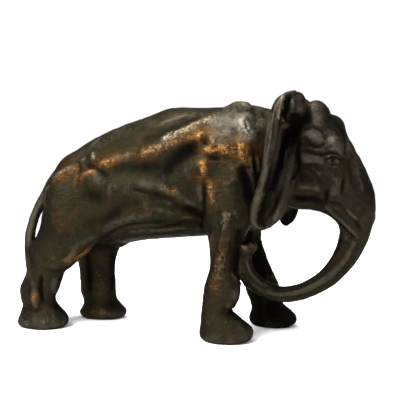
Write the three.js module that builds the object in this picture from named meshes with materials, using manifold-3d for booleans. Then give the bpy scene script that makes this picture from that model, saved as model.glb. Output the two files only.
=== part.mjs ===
// A cast bronze elephant, one solid body standing on its four feet.
// Millimetres, +Z up, the head towards +X and the animal's right side towards -Y.
import * as THREE from 'three';
import Module from 'manifold-3d';
import { mergeVertices } from 'three/addons/utils/BufferGeometryUtils.js';

// Driving sizes
const EAR_THICKNESS = 3.6;
const EAR_RIM_THICKNESS = 8.2;
const EAR_TROUGH = 8.5;
const TRUNK_WIDENING = 1.08;

// Barrel of the body: distance forward, back line height, belly line height, half width
const BARREL = [
  [-123, 121, 96, 13],
  [-112, 132, 78, 25],
  [-98, 142, 68, 32],
  [-80, 152, 64.5, 37],
  [-60, 160, 65, 40.5],
  [-40, 166, 68.5, 42.5],
  [-20, 172.5, 70.5, 42.5],
  [0, 173, 72, 40.5],
  [20, 173.5, 74, 37],
  [40, 174, 76, 31],
  [56, 171, 86, 25],
  [70, 167, 102, 20],
  [82, 160, 112, 16],
];

// Head: distance forward, crown height, jaw height, half width
const HEAD = [
  [62, 160, 108, 13],
  [70, 168.5, 97, 20],
  [80, 173.5, 94.5, 23],
  [90, 174, 94, 24.5],
  [99, 168, 91.5, 24],
  [107, 161, 86, 22.5],
  [113, 153, 80.5, 20.5],
  [119, 143, 78, 18.5],
  [125, 129, 79, 16.5],
  [130, 117, 82, 14.5],
  [134, 107, 88, 11.5],
];

// Trunk, from inside the forehead to the curled tip: forward, across, up, radius
const TRUNK = [
  [110, 0, 128, 15],
  [117, 0, 112, 15.5],
  [121, 0, 96, 14.5],
  [121, 0, 81, 11.6],
  [117.5, 0, 68, 9.8],
  [110, 0, 54.5, 8.3],
  [99.5, -0.5, 43, 7.2],
  [84, -1.5, 34, 6.3],
  [68, -4, 30.8, 6.1],
  [57, -7.5, 34.3, 6.1],
  [47.5, -11.5, 40.5, 6.5],
  [41.6, -15, 49.5, 6.8],
  [40.6, -17.5, 58.5, 6.7],
  [42.3, -18, 65.5, 6.6],
  [45.2, -17.5, 69.8, 6],
];

// Legs from the sole up into the body: height, rearmost, foremost, across, half width
const NEAR_FRONT_LEG = [
  [0, 13, 46, -28, 13.5],
  [3, 10.5, 49.3, -28, 15.5],
  [8, 10.5, 50, -28, 15],
  [12, 11.3, 47, -28, 13.5],
  [17, 11.5, 40, -28, 12],
  [22, 12, 35.8, -27.5, 11],
  [30, 12.5, 39.6, -27.5, 11.5],
  [40, 14, 41, -27.5, 11],
  [52, 17.5, 37.2, -27, 10],
  [64, 17.8, 38, -27, 10.5],
  [76, 16, 44, -26, 12],
  [90, 12, 50.5, -24.5, 13.5],
  [108, 8, 54, -22.5, 14.5],
  [128, 8, 55, -20.5, 14.5],
  [147, 12, 54, -18, 12.5],
  [163, 22, 50, -12, 10],
  [174.5, 32, 44, -9, 5],
];
const FAR_FRONT_LEG = [
  [0, 40, 71, 28, 13.5],
  [3, 37, 74.5, 28, 15.5],
  [7, 37, 75, 28, 15],
  [11, 38.6, 72, 28, 13.5],
  [15, 38.6, 67, 28, 12],
  [19, 37.5, 63.5, 28, 11],
  [26, 34.5, 62.5, 28, 11.2],
  [34, 32.5, 60, 28, 11],
  [44, 29.5, 55.5, 28, 10.5],
  [56, 26.5, 50.5, 28, 10.5],
  [68, 23, 47, 27.5, 12],
  [82, 18.5, 48, 26.5, 14],
  [98, 12, 52, 24, 14.5],
  [122, 8.5, 55, 21, 14.5],
  [147, 12, 54, 18, 12.5],
  [163, 22, 50, 12, 10],
  [174.5, 32, 44, 9, 5],
];
const NEAR_REAR_LEG = [
  [0, -137.5, -103, -23.5, 14],
  [3, -141, -99.5, -23.5, 16],
  [7.5, -140, -99.5, -23.5, 15.5],
  [12, -138, -102, -23.5, 13.5],
  [17, -136.6, -107, -23.5, 12],
  [22, -138.6, -109.5, -23.5, 11.5],
  [30, -139.2, -106.5, -23.5, 12],
  [38, -136, -103.8, -23.5, 12],
  [43, -133.5, -102, -23.8, 12.6],
  [47, -131.5, -96.5, -24, 13.2],
  [54, -130, -88, -24, 14],
  [61, -130.5, -80, -24, 15],
  [69, -126, -73.5, -23.5, 16.2],
  [77, -122.4, -69, -23, 17.2],
  [87, -120.5, -66, -22, 18],
  [97, -119.3, -66.5, -20.5, 18],
  [107, -120.5, -68.5, -19, 18],
  [119, -115, -74, -15.5, 16],
  [132, -109, -82, -11, 12],
  [137.5, -101, -88, -8, 7],
];
const FAR_REAR_LEG = [
  [0, -104, -71, 19, 13.5],
  [3, -108, -66.8, 19, 15.5],
  [6.5, -106.5, -67.2, 19, 15],
  [11, -104.3, -71, 19, 13],
  [15, -104.5, -74.8, 19, 11.5],
  [21, -107, -75.5, 19, 11.5],
  [29, -107.3, -76, 19, 12],
  [39, -108.3, -77, 19.5, 12],
  [50, -110.5, -76, 20, 13],
  [61, -115, -72, 20.5, 15],
  [74, -119, -67, 20.5, 17],
  [90, -121, -65, 20, 18],
  [106, -121, -68, 18, 17.5],
  [120, -118, -75, 15, 15.5],
  [132, -110, -83, 11, 12],
  [137.5, -101, -88, 8, 7],
];

// Tail, hanging from the rump and lying on the near hind leg: forward, across, up, radius
const TAIL = [
  [-112, 0, 120, 8],
  [-120.5, 0, 114.5, 6.8],
  [-126.5, -2, 106, 5.2],
  [-131.6, -7, 95, 4.2],
  [-134, -13.5, 83, 3.8],
  [-133.4, -20, 70.5, 4.2],
  [-130, -26, 57, 4.2],
  [-125.4, -31, 45, 4.2],
  [-121.5, -33.5, 34, 3.8],
  [-120.5, -34.5, 25, 4.2],
  [-119.5, -34.5, 17, 1.8],
];

// Ears, given for the left side (across is mirrored for the right): root line and rim line.
// The left ear's lobe hangs lower and further forward than the right one's.
const EAR_ROOT = [
  [77, 26, 178],
  [85, 17, 174],
  [88, 14, 165],
  [87, 14, 156],
  [83, 17, 147],
  [81, 18, 136],
  [81, 19, 124],
  [79, 22, 114],
  [77.5, 27, 105],
  [75, 33.5, 97],
  [71, 39, 89.5],
  [65.5, 42.5, 84],
];
const EAR_RIM = [
  [76, 30, 179.5],
  [69, 38, 174.5],
  [65.5, 43, 166],
  [63.5, 46, 156],
  [62.5, 48, 145],
  [61, 49, 132],
  [59, 50, 119],
  [55, 49, 107],
  [51.5, 47.5, 97],
  [51.3, 46.5, 89],
  [54.5, 45.5, 83.5],
  [60, 44, 82],
];
const LEFT_EAR_ROOT = [
  ...EAR_ROOT.slice(0, 8),
  [77.5, 27, 104],
  [76, 32.5, 97],
  [74.5, 37, 89],
  [69.5, 40, 81.5],
];
const LEFT_EAR_RIM = [
  ...EAR_RIM.slice(0, 7),
  [55, 49, 107],
  [54, 48, 97],
  [57.5, 46, 87.5],
  [60.8, 44, 81],
  [64.8, 42, 77.8],
];

// Rounded masses standing out of the lofted forms: centre, half sizes, tip about the across axis
const MASSES = [
  { at: [93.5, -9.5, 163.5], size: [10, 8.7, 12], tip: 0 },
  { at: [93.5, 9.5, 163.5], size: [10, 8.7, 12], tip: 0 },
  { at: [100, 0, 150], size: [12.5, 12, 16.5], tip: -0.5 },
  { at: [105.2, 0, 155], size: [8.5, 10, 9.5], tip: 0 },
  { at: [93.2, -20.4, 148.3], size: [8.8, 4.5, 5.6], tip: 0.12 },
  { at: [93.2, 20.4, 148.3], size: [8.8, 4.5, 5.6], tip: 0.12 },
  { at: [79.5, -25, 169], size: [8.5, 9, 11], tip: 0.3 },
  { at: [79.5, 25, 169], size: [8.5, 9, 11], tip: 0.3 },
  { at: [108, -17.5, 137], size: [9, 4.5, 8], tip: 0.5 },
  { at: [108, 17.5, 137], size: [9, 4.5, 8], tip: 0.5 },
  { at: [92, -19.5, 130.5], size: [19, 4.5, 6.5], tip: 0.12 },
  { at: [92, 19.5, 130.5], size: [19, 4.5, 6.5], tip: 0.12 },
  { at: [90, -17.5, 104], size: [17, 4.5, 6], tip: 0.1 },
  { at: [90, 17.5, 104], size: [17, 4.5, 6], tip: 0.1 },
  { at: [-3, 0, 163], size: [40, 15, 12], tip: -0.06 },
  { at: [-96, -18, 122], size: [16, 8.5, 8], tip: -0.5 },
  { at: [-96, 18, 122], size: [16, 8.5, 8], tip: -0.5 },
  { at: [-66, 0, 66], size: [9, 6, 6], tip: 0 },
  { at: [34, 0, 93], size: [24, 22, 13], tip: 0 },
];

const wasm = await Module();
wasm.setup();

function spline(rows) {
  return new THREE.CatmullRomCurve3(
    rows.map((row) => new THREE.Vector3(row[0], row[1], row[2])), false, 'catmullrom', 0.5);
}

function toManifold(geometry) {
  geometry.deleteAttribute('normal');
  geometry.deleteAttribute('uv');
  const merged = mergeVertices(geometry, 1e-4);
  const spots = merged.attributes.position;
  const corners = Uint32Array.from(merged.index.array);
  const a = new THREE.Vector3();
  const b = new THREE.Vector3();
  const c = new THREE.Vector3();
  let volume = 0;
  for (let i = 0; i < corners.length; i += 3) {
    a.fromBufferAttribute(spots, corners[i]);
    b.fromBufferAttribute(spots, corners[i + 1]);
    c.fromBufferAttribute(spots, corners[i + 2]);
    volume += a.dot(b.cross(c));
  }
  if (volume < 0) {
    for (let i = 0; i < corners.length; i += 3) {
      const kept = corners[i + 1];
      corners[i + 1] = corners[i + 2];
      corners[i + 2] = kept;
    }
  }
  const vertProperties = Float32Array.from(spots.array);
  return new wasm.Manifold(new wasm.Mesh({ numProp: 3, vertProperties, triVerts: corners }));
}

// A closed loft: a sphere whose rows become rings, and whose poles close the two ends
function loft(around, along, place) {
  const geometry = new THREE.SphereGeometry(1, around, along);
  const points = geometry.attributes.position;
  for (let row = 0; row <= along; row += 1) {
    const t = Math.min(1, Math.max(0, (row - 1) / (along - 2)));
    const reach = row > 0 && row < along ? 1 : 0;
    for (let column = 0; column <= around; column += 1) {
      const angle = (2 * Math.PI * (column % around)) / around;
      const spot = place(t, angle, reach);
      points.setXYZ(row * (around + 1) + column, spot.x, spot.y, spot.z);
    }
  }
  return toManifold(geometry);
}

// Upright rings across the body, wider below the middle than above it
function barrelLoft(rows, around, along, waist, roof) {
  const ends = spline(rows.map((row) => [row[0], row[1], row[2]]));
  const widths = spline(rows.map((row) => [row[3], 0, 0]));
  return loft(around, along, (t, angle, reach) => {
    const end = ends.getPoint(t);
    const width = widths.getPoint(t).x;
    const middle = end.z + waist * (end.y - end.z);
    const up = Math.sin(angle);
    const side = Math.sign(Math.cos(angle)) * Math.abs(Math.cos(angle)) ** (up > 0 ? roof : 1);
    const height = up > 0 ? end.y - middle : middle - end.z;
    return new THREE.Vector3(end.x, reach * width * side, middle + reach * height * up);
  });
}

// Level rings up a leg
function legLoft(rows, around, along) {
  const heights = spline(rows.map((row) => [row[0], row[1], row[2]]));
  const sides = spline(rows.map((row) => [row[3], row[4], 0]));
  return loft(around, along, (t, angle, reach) => {
    const span = heights.getPoint(t);
    const side = sides.getPoint(t);
    const half = (span.z - span.y) / 2;
    const forward = (span.y + span.z) / 2 + reach * half * Math.cos(angle);
    const across = side.x + reach * side.y * Math.sin(angle);
    return new THREE.Vector3(forward, across, Math.max(0, span.x));
  });
}

// Round rings square to a curved middle line
function tubeLoft(rows, around, along, widening) {
  const line = spline(rows);
  const radii = spline(rows.map((row) => [row[3], 0, 0]));
  return loft(around, along, (t, angle, reach) => {
    const centre = line.getPoint(t);
    const run = line.getTangent(t);
    const across = new THREE.Vector3(0, 1, 0).addScaledVector(run, -run.y).normalize();
    const outward = new THREE.Vector3().crossVectors(run, across);
    const radius = reach * radii.getPoint(t).x;
    return centre
      .addScaledVector(across, radius * widening * Math.cos(angle))
      .addScaledVector(outward, radius * Math.sin(angle));
  });
}

// An ear: a trough-shaped leaf between its root line and its thick outer rim
function earLoft(rootRows, rimRows, side, around, along) {
  const root = spline(rootRows.map((row) => [row[0], side * row[1], row[2]]));
  const rim = spline(rimRows.map((row) => [row[0], side * row[1], row[2]]));
  return loft(around, along, (t, angle, reach) => {
    const start = root.getPoint(t);
    const end = rim.getPoint(t);
    const across = reach ? (1 - Math.cos(angle)) / 2 : 0.5;
    const chord = end.clone().sub(start);
    const down = root.getTangent(t).add(rim.getTangent(t));
    const face = new THREE.Vector3().crossVectors(chord, down).normalize().multiplyScalar(-side);
    const hollow = 1 + 0.5 * Math.exp(-(((t - 0.3) / 0.18) ** 2));
    const ease = Math.sin(Math.PI * Math.min(1, t + 0.05)) ** 0.5;
    const lobe = 1 - 0.5 * THREE.MathUtils.smoothstep(t, 0.62, 0.85);
    const trough = Math.sin(Math.PI * Math.min(1, across / 0.84) ** 1.35) ** 1.2;
    const roll = 2.6 * THREE.MathUtils.smoothstep(t, 0.4, 0.6) * Math.exp(-(((across - 0.22) / 0.18) ** 2));
    const sag = EAR_TROUGH * hollow * ease * lobe * trough - roll;
    const swell = (EAR_RIM_THICKNESS - EAR_THICKNESS) * THREE.MathUtils.smoothstep(across, 0.62, 0.9);
    const edge = Math.sign(Math.sin(angle)) * Math.abs(Math.sin(angle)) ** 0.45;
    return start
      .addScaledVector(chord, across)
      .addScaledVector(face, -sag + reach * (((EAR_THICKNESS + swell) / 2) * edge + swell / 5));
  });
}

function mass(form, around, along) {
  const geometry = new THREE.SphereGeometry(1, around, along);
  geometry.scale(form.size[0], form.size[1], form.size[2]);
  geometry.rotateY(form.tip);
  geometry.translate(form.at[0], form.at[1], form.at[2]);
  return toManifold(geometry);
}

let body = barrelLoft(BARREL, 26, 20, 0.42, 1.05);
const forms = [
  barrelLoft(HEAD, 20, 16, 0.5, 1),
  tubeLoft(TRUNK, 14, 36, TRUNK_WIDENING),
  legLoft(NEAR_FRONT_LEG, 16, 25),
  legLoft(FAR_FRONT_LEG, 16, 25),
  legLoft(NEAR_REAR_LEG, 16, 26),
  legLoft(FAR_REAR_LEG, 16, 25),
  tubeLoft(TAIL, 8, 22, 1),
  earLoft(EAR_ROOT, EAR_RIM, -1, 14, 18),
  earLoft(LEFT_EAR_ROOT, LEFT_EAR_RIM, 1, 14, 18),
  ...MASSES.map((form) => mass(form, 12, 7)),
];
for (const form of forms) {
  body = body.add(form);
}

const cast = body.getMesh();
const geometry = new THREE.BufferGeometry();
geometry.setAttribute('position', new THREE.Float32BufferAttribute(cast.vertProperties, 3));
geometry.setIndex(Array.from(cast.triVerts));
geometry.computeBoundingBox();
const box = geometry.boundingBox;
geometry.translate(-(box.min.x + box.max.x) / 2, -(box.min.y + box.max.y) / 2, -box.min.z);

const bronze = new THREE.MeshStandardMaterial({ color: 0x4a4032, roughness: 0.42, metalness: 0.9 });
const elephant = new THREE.Mesh(geometry, bronze);
elephant.name = 'elephant';

const figure = new THREE.Group();
figure.add(elephant);

export default figure;
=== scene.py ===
"""A cast bronze elephant: the modelled surface, its patina with painted shade and highlights, and a plain
studio.
"""
import math

import bpy
import numpy as np
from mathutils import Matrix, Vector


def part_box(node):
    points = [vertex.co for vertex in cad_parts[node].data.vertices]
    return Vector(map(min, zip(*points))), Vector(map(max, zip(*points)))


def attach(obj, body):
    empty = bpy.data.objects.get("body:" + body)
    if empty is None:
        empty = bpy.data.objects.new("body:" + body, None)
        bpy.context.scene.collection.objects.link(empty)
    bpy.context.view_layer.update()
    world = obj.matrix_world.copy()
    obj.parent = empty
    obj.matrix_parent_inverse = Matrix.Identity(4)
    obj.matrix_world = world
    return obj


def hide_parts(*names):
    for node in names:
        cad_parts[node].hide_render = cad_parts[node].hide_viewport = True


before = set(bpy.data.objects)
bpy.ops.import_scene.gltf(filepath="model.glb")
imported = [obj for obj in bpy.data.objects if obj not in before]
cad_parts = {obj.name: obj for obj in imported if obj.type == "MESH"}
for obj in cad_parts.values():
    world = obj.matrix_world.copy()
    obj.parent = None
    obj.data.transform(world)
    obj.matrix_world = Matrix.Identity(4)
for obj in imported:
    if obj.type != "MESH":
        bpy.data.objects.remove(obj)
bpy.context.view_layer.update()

import openvdb
from mathutils import Vector

LOW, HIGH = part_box("elephant")

# Sizes are millimetres in the modelling frame: +X to the forehead, -Y to the near side.
REAR_X = -140.715
FRONT_X = 135.04
SCALE = (HIGH[0] - LOW[0]) / (FRONT_X - REAR_X)
MIDDLE_X = (REAR_X + FRONT_X) / 2

VOXEL = 0.8
BAND = 9
GRID_LOW = np.array([-150, -60, -8])
GRID_HIGH = np.array([144, 60, 188])
TRIANGLE_LIMIT = 196000

# Barrel and head: distance forward, top height, bottom height, half width.
BARREL = [
    (-123, 121, 96, 13), (-112, 132, 78, 25), (-98, 142, 68, 32), (-80, 152, 64.5, 37),
    (-60, 160, 65, 40.5), (-40, 166, 68.5, 42.5), (-20, 172.8, 70.5, 42.5), (0, 172.8, 72, 40.5),
    (20, 172.4, 74, 37), (40, 174, 76, 31), (56, 171, 86, 25), (70, 167, 102, 20), (82, 160, 112, 16),
]
HEAD = [
    (62, 160, 108, 13), (70, 168.5, 97, 20), (80, 173.5, 94.5, 23), (90, 174, 94, 24.5),
    (99, 168, 91.5, 24), (107, 161, 86, 22.5), (113, 153, 80.5, 20.5), (119, 143, 78, 18.5),
    (125, 129, 79, 16.5), (130, 117, 82, 14.5), (134, 107, 88, 11.5),
]
# Trunk: forward, across, up, radius.
TRUNK = [
    (110, 0, 128, 15), (117, 0, 112, 15.5), (121, 0, 96, 14.5), (121, 0, 81, 11.6), (117.5, 0, 68, 9.8),
    (110, 0, 54.5, 8.3), (99.5, -0.5, 43, 7.2), (84, -1.5, 34, 6.3), (68, -4, 30.8, 6.1),
    (57, -7.5, 34.3, 6.1), (47.5, -11.5, 40.5, 6.5), (41.6, -15, 49.5, 6.8), (40.6, -17.5, 58.5, 6.7),
    (42.3, -18, 65.5, 6.6), (45.2, -17.5, 69.8, 6),
]
# Legs: height, rear edge, front edge, across, half width.
NEAR_FRONT_LEG = [
    (0, 13, 46, -28, 13.5), (3, 10.5, 49.3, -28, 15.5), (8, 10.5, 50, -28, 15),
    (12, 11.3, 47, -28, 13.5), (17, 11.5, 40, -28, 12), (22, 12, 35.8, -27.5, 11),
    (30, 12.5, 39.6, -27.5, 11.5), (40, 14, 41, -27.5, 11), (52, 17.5, 37.2, -27, 10),
    (64, 17.8, 38, -27, 10.5), (76, 16, 44, -26, 12), (90, 12, 50.5, -24.5, 13.5),
    (108, 8, 54, -22.5, 14.5), (128, 8, 55, -20.5, 14.5), (147, 12, 54, -18, 12.5),
    (163, 22, 50, -12, 10), (174.5, 32, 44, -9, 5),
]
FAR_FRONT_LEG = [
    (0, 40, 71, 28, 13.5), (3, 37, 74.5, 28, 15.5), (7, 37, 75, 28, 15), (11, 38.6, 72, 28, 13.5),
    (15, 38.6, 67, 28, 12), (19, 37.5, 63.5, 28, 11), (26, 34.5, 62.5, 28, 11.2),
    (34, 32.5, 60, 28, 11), (44, 29.5, 55.5, 28, 10.5), (56, 26.5, 50.5, 28, 10.5),
    (68, 23, 47, 27.5, 12), (82, 18.5, 48, 26.5, 14), (98, 12, 52, 24, 14.5), (122, 8.5, 55, 21, 14.5),
    (147, 12, 54, 18, 12.5), (163, 22, 50, 12, 10), (174.5, 32, 44, 9, 5),
]
NEAR_REAR_LEG = [
    (0, -137.5, -103, -23.5, 14), (3, -141, -99.5, -23.5, 16), (7.5, -140, -99.5, -23.5, 15.5),
    (12, -138, -102, -23.5, 13.5), (17, -136.6, -107, -23.5, 12), (22, -138.6, -109.5, -23.5, 11.5),
    (30, -139.2, -106.5, -23.5, 12), (38, -136, -103.8, -23.5, 12), (43, -133.5, -102, -23.8, 12.6),
    (47, -131.5, -96.5, -24, 13.2), (54, -130, -88, -24, 14), (61, -130.5, -80, -24, 15),
    (69, -126, -73.5, -23.5, 16.2), (77, -122.4, -69, -23, 17.2), (87, -120.5, -66, -22, 18),
    (97, -119.3, -66.5, -20.5, 18), (107, -120.5, -68.5, -19, 18), (119, -115, -74, -15.5, 16),
    (132, -109, -82, -11, 12), (137.5, -101, -88, -8, 7),
]
FAR_REAR_LEG = [
    (0, -104, -71, 19, 13.5), (3, -108, -66.8, 19, 15.5), (6.5, -106.5, -67.2, 19, 15),
    (11, -104.3, -71, 19, 13), (15, -104.5, -74.8, 19, 11.5), (21, -107, -75.5, 19, 11.5),
    (29, -107.3, -76, 19, 12), (39, -108.3, -77, 19.5, 12), (50, -110.5, -76, 20, 13),
    (61, -115, -72, 20.5, 15), (74, -119, -67, 20.5, 17), (90, -121, -65, 20, 18),
    (106, -121, -68, 18, 17.5), (120, -118, -75, 15, 15.5), (132, -110, -83, 11, 12),
    (137.5, -101, -88, 8, 7),
]
# Tail: forward, across, up, radius.
TAIL = [
    (-112, 0, 120, 8), (-120.5, 0, 114.5, 6.8), (-126.5, -2, 106, 5.2), (-131.6, -7, 95, 4.2),
    (-134, -13.5, 83, 3.8), (-133.4, -20, 70.5, 4.2), (-130, -26, 57, 4.2), (-125.4, -31, 45, 4.2),
    (-121.5, -33.5, 34, 3.8), (-120.5, -34.5, 25, 4.2), (-119.5, -34.5, 17, 1.8),
]
# Ears, from the top to the tip: forward, out from the middle, up.
EAR_ROOT = [
    (77, 26, 178), (85, 17, 174), (88, 14, 165), (87, 14, 156), (83, 17, 147), (81, 18, 136),
    (81, 19, 124), (79, 22, 114), (77.5, 27, 105), (75, 33.5, 97), (71, 39, 89.5), (65.5, 42.5, 84),
]
EAR_RIM = [
    (76, 30, 179.5), (69, 38, 174.5), (65.5, 43, 166), (63.5, 46, 156), (62.5, 48, 145), (61, 49, 132),
    (59, 50, 119), (55, 49, 107), (51.5, 47.5, 97), (51.3, 46.5, 89), (54.5, 45.5, 83.5), (60, 44, 82),
]
FAR_EAR_ROOT = EAR_ROOT[:8] + [(77.5, 27, 104), (76, 32.5, 97), (74.5, 37, 89), (69.5, 40, 81.5)]
FAR_EAR_RIM = EAR_RIM[:7] + [
    (55, 49, 107), (54, 48, 97), (57.5, 46, 87.5), (60.8, 44, 81), (64.8, 42, 77.8),
]
LEGS = (NEAR_FRONT_LEG, FAR_FRONT_LEG, NEAR_REAR_LEG, FAR_REAR_LEG)
SMALLEST_RADIUS = 0.3
EAR_THICKNESS = 3.6
EAR_RIM_THICKNESS = 8.2
EAR_TROUGH = 8.5
EAR_FOLD_DEPTH = 2.6
EAR_EDGE_ROUNDNESS = 0.45
FAR_RELIEF = 0.85
FAR_GRAINS = 0.7


# -------------------------------- lofts
def spline(rows, count):
    """Points along a uniform Catmull-Rom curve through the rows."""
    rows = np.array(rows, float)
    ends = np.vstack([2 * rows[0] - rows[1], rows, 2 * rows[-1] - rows[-2]])
    t = np.linspace(0, len(rows) - 1, count)
    i = np.minimum(t.astype(int), len(rows) - 2)
    f = (t - i)[:, None]
    a, b, c, d = ends[i], ends[i + 1], ends[i + 2], ends[i + 3]
    square, cube = 2 * a - 5 * b + 4 * c - d, 3 * b - a - 3 * c + d
    return 0.5 * (2 * b + (c - a) * f + square * f**2 + cube * f**3)


def closed_loft(rings, start, end):
    """Points, quads and triangles of a tube of rings closed by a point at each end."""
    count, around = rings.shape[:2]
    points = np.vstack([rings.reshape(-1, 3), start[None], end[None]])
    row = np.arange(count - 1)[:, None] * around
    column = np.arange(around)[None, :]
    after = (column + 1) % around
    quads = np.stack([row + column, row + after, row + around + after, row + around + column], -1)
    edge, following = column[0], after[0]
    last_row = (count - 1) * around
    first = np.stack([np.full(around, count * around), following, edge], -1)
    last = np.stack([np.full(around, count * around + 1), last_row + edge, last_row + following], -1)
    return points, quads.reshape(-1, 4), np.vstack([first, last])


def barrel_loft(rows, waist, roof, count=90, around=96):
    """A body of oval rings, widest at its waist; roof shapes the half above."""
    table = spline(rows, count)
    angle = np.linspace(0, 2 * math.pi, around, endpoint=False)
    x, top, bottom, width = (table[:, [c]] for c in range(4))
    middle = bottom + waist * (top - bottom)
    up, side = np.sin(angle)[None], np.cos(angle)[None]
    side = np.sign(side) * np.abs(side) ** np.where(up > 0, roof, 1.0)
    height = np.where(up > 0, top - middle, middle - bottom)
    rings = np.stack([x + 0 * up, width * side, middle + height * up], -1)
    centres = np.stack([x[:, 0], 0 * x[:, 0], middle[:, 0]], -1)
    return closed_loft(rings, centres[0], centres[-1])


def leg_loft(rows, count=110, around=64):
    """A leg of level oval rings, flat at the ground."""
    table = spline(rows, count)
    angle = np.linspace(0, 2 * math.pi, around, endpoint=False)
    z, rear, front, across, half = (table[:, [c]] for c in range(5))
    z = np.maximum(z, 0)
    rings = np.stack([
        (rear + front) / 2 + (front - rear) / 2 * np.cos(angle)[None],
        across + half * np.sin(angle)[None],
        z + 0 * angle[None],
    ], -1)
    centres = np.stack([(rear + front)[:, 0] / 2, across[:, 0], z[:, 0]], -1)
    return closed_loft(rings, centres[0], centres[-1])


def tube_loft(rows, widening=1.0, count=150, around=32):
    """A bent tube along a line, with its rings square to it."""
    table = spline(rows, count)
    angle = np.linspace(0, 2 * math.pi, around, endpoint=False)
    line, radius = table[:, :3], np.maximum(table[:, 3], SMALLEST_RADIUS)
    run = np.gradient(line, axis=0)
    run /= np.linalg.norm(run, axis=1)[:, None]
    across = np.array([0, 1.0, 0]) - run * run[:, [1]]
    across /= np.linalg.norm(across, axis=1)[:, None]
    outward = np.cross(run, across)
    wide = (radius * widening)[:, None, None]
    rings = (line[:, None] + wide * across[:, None] * np.cos(angle)[None, :, None]
             + radius[:, None, None] * outward[:, None] * np.sin(angle)[None, :, None])
    return closed_loft(rings, line[0], line[-1])


def smoothstep(value, low, high):
    """0 below low, 1 above high, and smooth between them."""
    t = np.clip((value - low) / (high - low), 0, 1)
    return t * t * (3 - 2 * t)


def ear_loft(root_rows, rim_rows, side, count=110, around=72):
    """A dished ear between its root and rim lines, with a fold near the root and a thick rim."""
    flip = np.array([1, side, 1.0])
    root = spline(root_rows, count) * flip
    rim = spline(rim_rows, count) * flip
    angle = np.linspace(0, 2 * math.pi, around, endpoint=False)
    across = (1 - np.cos(angle)) / 2
    chord = rim - root
    face = np.cross(chord, np.gradient(root, axis=0) + np.gradient(rim, axis=0)) * -side
    face /= np.linalg.norm(face, axis=1)[:, None]
    t = np.linspace(0, 1, count)
    deep = EAR_TROUGH * (1 + 0.5 * np.exp(-((t - 0.3) / 0.18)**2))
    deep *= np.sqrt(np.sin(math.pi * np.clip(t + 0.05, 0, 1))) * (1 - 0.5 * smoothstep(t, 0.62, 0.85))
    trough = np.sin(math.pi * np.minimum(across / 0.84, 1) ** 1.35) ** 1.2
    fold = np.exp(-((across - 0.22) / 0.18)**2)
    roll = EAR_FOLD_DEPTH * smoothstep(t, 0.4, 0.6)[:, None] * fold[None]
    sag = deep[:, None] * trough[None] - roll
    swell = (EAR_RIM_THICKNESS - EAR_THICKNESS) * smoothstep(across, 0.62, 0.9)
    edge = np.sign(np.sin(angle)) * np.abs(np.sin(angle)) ** EAR_EDGE_ROUNDNESS
    lift = -sag + ((EAR_THICKNESS + swell) / 2 * edge + swell / 5)[None]
    rings = root[:, None] + chord[:, None] * across[None, :, None] + face[:, None] * lift[..., None]
    centres = root + chord / 2 - face * sag[:, [around // 4]]
    return closed_loft(rings, centres[0], centres[-1])


# -------------------------------- the clay
PRESS_REACH = 2.6
LONGEST_TAPER = 0.38
TINY = 1e-6


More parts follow.
